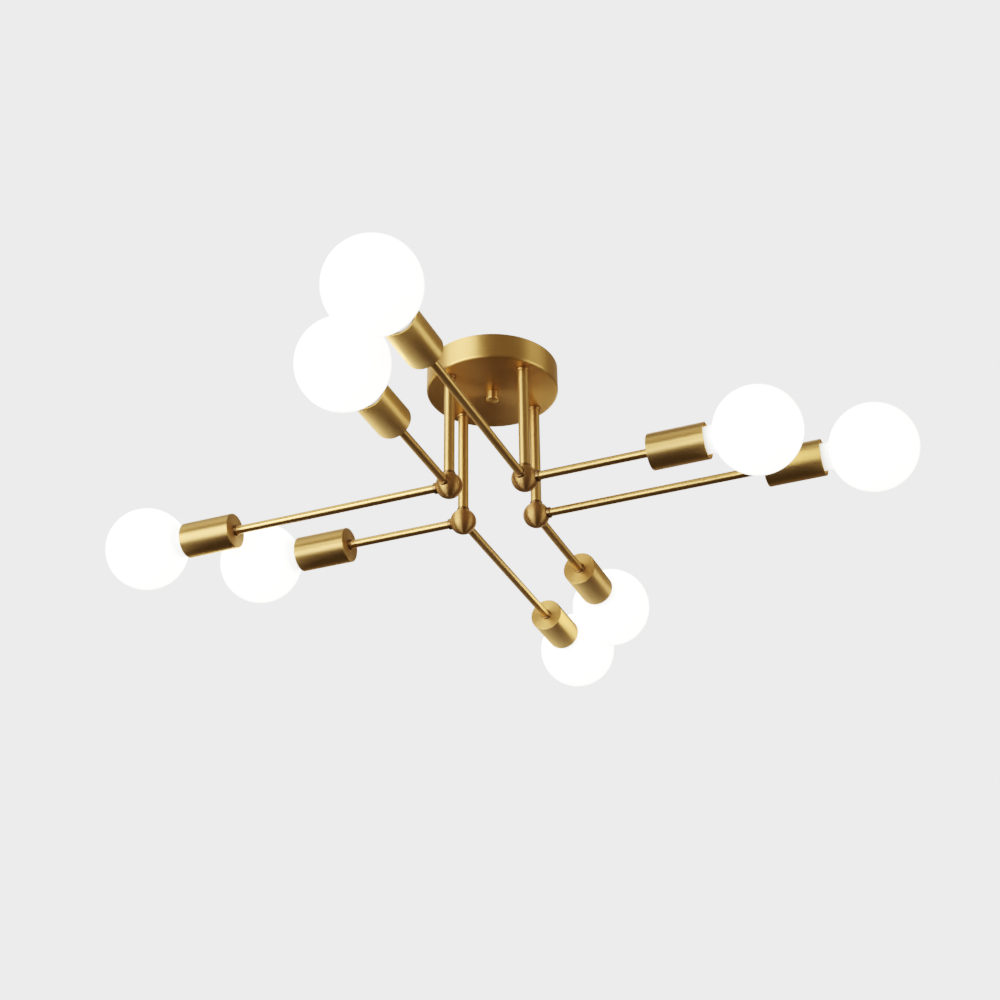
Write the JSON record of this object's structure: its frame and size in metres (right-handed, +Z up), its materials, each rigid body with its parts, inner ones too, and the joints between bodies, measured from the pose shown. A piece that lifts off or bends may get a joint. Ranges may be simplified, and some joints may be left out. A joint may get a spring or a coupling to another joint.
{
  "type": "multi arm chandelier",
  "caption": "Semi-flush ceiling light: drum canopy, four stems with ball hubs, a long and a short arm on each, cups with opal globe bulbs.",
  "frame": {"origin": "centre of the ceiling bar's upper face, which is the centre of the canopy's rim, in the ceiling plane", "axes": "+Z up into the ceiling, arms along X and Y, the long arm of branch a along -X"},
  "size_m": [0.9186, 0.9186, 0.2185],
  "materials": {
    "brass_brushed": "brushed satin, lacquered",
    "brass_tube": "satin, fine lengthwise polish",
    "brass_dark": "satin, slightly darker",
    "zinc_steel": "zinc plated",
    "lamp_metal": "nickel plated",
    "ground_green": "green dyed",
    "holder_white": "glazed white",
    "connector_white": "moulded nylon",
    "cable_black": "PVC sheath",
    "opal_glass": "frosted opal, lit"
  },
  "bodies": {
    "ceiling_side": {"canopy": "brass_brushed", "crossbar": "zinc_steel", "canopy_stud": "zinc_steel", "stud_nut": "zinc_steel", "finial": "brass_brushed", "ground_screw": "ground_green", "wire_connectors": "connector_white", "canopy_leads": "cable_black"},
    "branch_a": {"stem_a": "brass_tube", "stem_a_fittings": "brass_dark", "hub_a": "brass_dark", "arm_a_long": "brass_tube", "arm_a_short": "brass_tube", "arm_a_rings": "brass_dark", "cup_a_long": "brass_brushed", "cup_a_short": "brass_brushed", "lampholders_a": "holder_white", "screw_shells_a": "lamp_metal", "leads_a": "cable_black"},
    "lamp_a_long": {"bulb_a_long": "opal_glass"},
    "lamp_a_short": {"bulb_a_short": "opal_glass"},
    "branch_b": {"stem_b": "brass_tube", "stem_b_fittings": "brass_dark", "hub_b": "brass_dark", "arm_b_long": "brass_tube", "arm_b_short": "brass_tube", "arm_b_rings": "brass_dark", "cup_b_long": "brass_brushed", "cup_b_short": "brass_brushed", "lampholders_b": "holder_white", "screw_shells_b": "lamp_metal", "leads_b": "cable_black"},
    "lamp_b_long": {"bulb_b_long": "opal_glass"},
    "lamp_b_short": {"bulb_b_short": "opal_glass"},
    "branch_c": {"stem_c": "brass_tube", "stem_c_fittings": "brass_dark", "hub_c": "brass_dark", "arm_c_long": "brass_tube", "arm_c_short": "brass_tube", "arm_c_rings": "brass_dark", "cup_c_long": "brass_brushed", "cup_c_short": "brass_brushed", "lampholders_c": "holder_white", "screw_shells_c": "lamp_metal", "leads_c": "cable_black"},
    "lamp_c_long": {"bulb_c_long": "opal_glass"},
    "lamp_c_short": {"bulb_c_short": "opal_glass"},
    "branch_d": {"stem_d": "brass_tube", "stem_d_fittings": "brass_dark", "hub_d": "brass_dark", "arm_d_long": "brass_tube", "arm_d_short": "brass_tube", "arm_d_rings": "brass_dark", "cup_d_long": "brass_brushed", "cup_d_short": "brass_brushed", "lampholders_d": "holder_white", "screw_shells_d": "lamp_metal", "leads_d": "cable_black"},
    "lamp_d_long": {"bulb_d_long": "opal_glass"},
    "lamp_d_short": {"bulb_d_short": "opal_glass"}
  },
  "joints": [
    {"name": "stem_a_swivel", "type": "hinge", "parent": "ceiling_side", "child": "branch_a", "pos_m": [-0.03179, -0.0497, -0.0305], "axis": [0, 0, 1], "range_deg": [-10, 45]},
    {"name": "bulb_a_long_unscrew", "type": "slide", "parent": "branch_a", "child": "lamp_a_long", "axis": [-1, 0, 0], "range_m": [0, 0.03]},
    {"name": "bulb_a_short_unscrew", "type": "slide", "parent": "branch_a", "child": "lamp_a_short", "axis": [0, -1, 0], "range_m": [0, 0.03]},
    {"name": "stem_b_swivel", "type": "hinge", "parent": "ceiling_side", "child": "branch_b", "pos_m": [0.0497, -0.03179, -0.0305], "axis": [0, 0, 1], "range_deg": [-10, 45]},
    {"name": "bulb_b_long_unscrew", "type": "slide", "parent": "branch_b", "child": "lamp_b_long", "axis": [0, -1, 0], "range_m": [0, 0.03]},
    {"name": "bulb_b_short_unscrew", "type": "slide", "parent": "branch_b", "child": "lamp_b_short", "axis": [1, 0, 0], "range_m": [0, 0.03]},
    {"name": "stem_c_swivel", "type": "hinge", "parent": "ceiling_side", "child": "branch_c", "pos_m": [0.03179, 0.0497, -0.0305], "axis": [0, 0, 1], "range_deg": [-10, 45]},
    {"name": "bulb_c_long_unscrew", "type": "slide", "parent": "branch_c", "child": "lamp_c_long", "axis": [1, 0, 0], "range_m": [0, 0.03]},
    {"name": "bulb_c_short_unscrew", "type": "slide", "parent": "branch_c", "child": "lamp_c_short", "axis": [0, 1, 0], "range_m": [0, 0.03]},
    {"name": "stem_d_swivel", "type": "hinge", "parent": "ceiling_side", "child": "branch_d", "pos_m": [-0.0497, 0.03179, -0.0305], "axis": [0, 0, 1], "range_deg": [-10, 45]},
    {"name": "bulb_d_long_unscrew", "type": "slide", "parent": "branch_d", "child": "lamp_d_long", "axis": [0, 1, 0], "range_m": [0, 0.03]},
    {"name": "bulb_d_short_unscrew", "type": "slide", "parent": "branch_d", "child": "lamp_d_short", "axis": [-1, 0, 0], "range_m": [0, 0.03]}
  ],
  "couplings": [
    {"joint": "stem_b_swivel", "follows": "stem_a_swivel", "ratio": 1},
    {"joint": "stem_c_swivel", "follows": "stem_a_swivel", "ratio": 1},
    {"joint": "stem_d_swivel", "follows": "stem_a_swivel", "ratio": 1}
  ]
}
